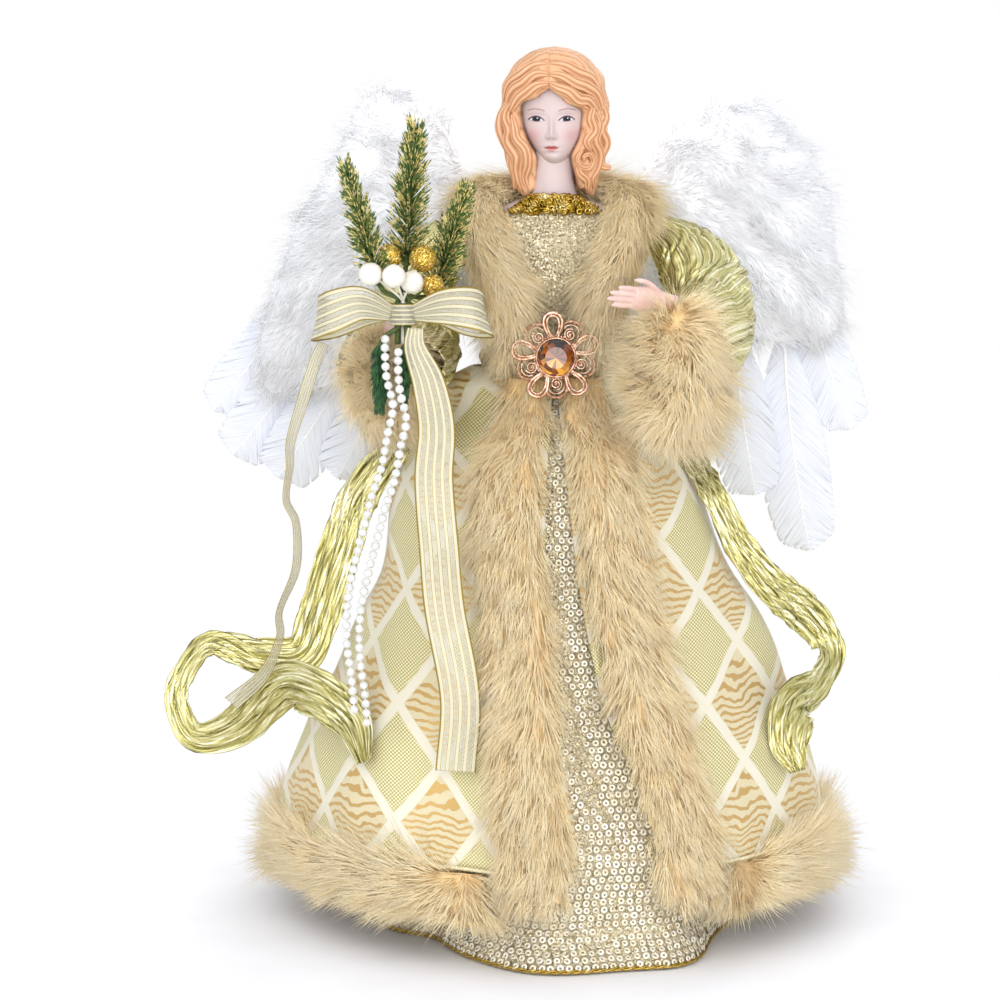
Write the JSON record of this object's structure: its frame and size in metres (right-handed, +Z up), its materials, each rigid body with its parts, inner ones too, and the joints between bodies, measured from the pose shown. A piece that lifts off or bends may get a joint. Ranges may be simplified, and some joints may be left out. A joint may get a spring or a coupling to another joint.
{
  "type": "christmas angel doll",
  "caption": "Standing angel doll in a fur-trimmed brocade coat over a sequined gown, with feather wings, a jewelled brooch and a tied bouquet.",
  "frame": {"origin": "on the floor, under the middle of the base board", "axes": "+Z up; the doll faces -Y and its own left hand is towards +X"},
  "size_m": [0.3321, 0.273, 0.4],
  "materials": {
    "card": "matt",
    "foam": "matt foam",
    "bisque": "unglazed",
    "hair_paint": "painted, satin",
    "glitter_cloth": "glitter",
    "gold_trim": "metallic",
    "sequin_cloth": "sequined",
    "brocade": "woven, part metallic",
    "lame": "crinkled metallic",
    "fur": "long pile",
    "wire": "drawn",
    "rose_gold": "plated, antiqued",
    "amber_glass": "faceted",
    "needles": "flocked",
    "gold_glitter": "glitter",
    "pearl": "pearl",
    "sheer_ribbon": "sheer, metallic stripes",
    "down": "fluffy",
    "feather": "smooth vane"
  },
  "bodies": {
    "figure": {"base_board": "card", "cone_former": "card", "torso_block": "foam", "head_bust": "bisque", "moulded_hair": "hair_paint", "bodice": "glitter_cloth", "neckline_trim": "gold_trim", "upper_coat": "lame", "waist_belt": "gold_trim", "underskirt": "sequin_cloth", "coat_skirt": "brocade", "fur_front_left": "fur", "fur_front_right": "fur", "fur_hem": "fur", "fur_collar_left": "fur", "fur_collar_right": "fur", "brooch_setting": "rose_gold", "brooch_gem": "amber_glass", "sash_knot": "lame", "sash_tail_left": "lame", "sash_tail_right": "lame", "wing_plate": "card"},
    "arm_left": {"arm_wire_left": "wire", "sleeve_left": "lame", "fur_cuff_left": "fur", "hand_left": "bisque"},
    "arm_right": {"arm_wire_right": "wire", "sleeve_right": "lame", "fur_cuff_right": "fur", "hand_right": "bisque", "pine_sprig_tall": "needles", "pine_sprig_side": "needles", "pine_sprig_inner": "needles", "pine_sprig_low": "needles", "pine_sprig_low_inner": "needles", "pearl_berry_pick": "pearl", "glitter_ball_pick": "gold_glitter", "bow_knot": "sheer_ribbon", "bow_loop_right": "sheer_ribbon", "bow_loop_left": "sheer_ribbon", "ribbon_tail_long": "sheer_ribbon", "ribbon_tail_thin": "sheer_ribbon", "bead_string_one": "pearl", "bead_string_two": "pearl"},
    "wing_left": {"wing_wire_left": "wire", "wing_card_left": "card", "wing_down_left": "down", "wing_feather_left_1": "feather", "wing_feather_left_2": "feather", "wing_feather_left_3": "feather", "wing_feather_left_4": "feather", "wing_feather_left_5": "feather"},
    "wing_right": {"wing_wire_right": "wire", "wing_card_right": "card", "wing_down_right": "down", "wing_feather_right_1": "feather", "wing_feather_right_2": "feather", "wing_feather_right_3": "feather", "wing_feather_right_4": "feather", "wing_feather_right_5": "feather"}
  },
  "joints": [
    {"name": "arm_left_lift", "type": "hinge", "parent": "figure", "child": "arm_left", "pos_m": [0.0445, 0, 0.3158], "axis": [0, -1, 0], "range_deg": [0, 15]},
    {"name": "arm_right_lift", "type": "hinge", "parent": "figure", "child": "arm_right", "pos_m": [-0.0445, 0, 0.3158], "axis": [0, 1, 0], "range_deg": [0, 15]},
    {"name": "wing_left_fold", "type": "hinge", "parent": "figure", "child": "wing_left", "pos_m": [0.014, 0.038, 0.298], "axis": [0, 0, 1], "range_deg": [-8, 25]},
    {"name": "wing_right_fold", "type": "hinge", "parent": "figure", "child": "wing_right", "pos_m": [-0.014, 0.038, 0.298], "axis": [0, 0, -1], "range_deg": [-8, 25]}
  ]
}
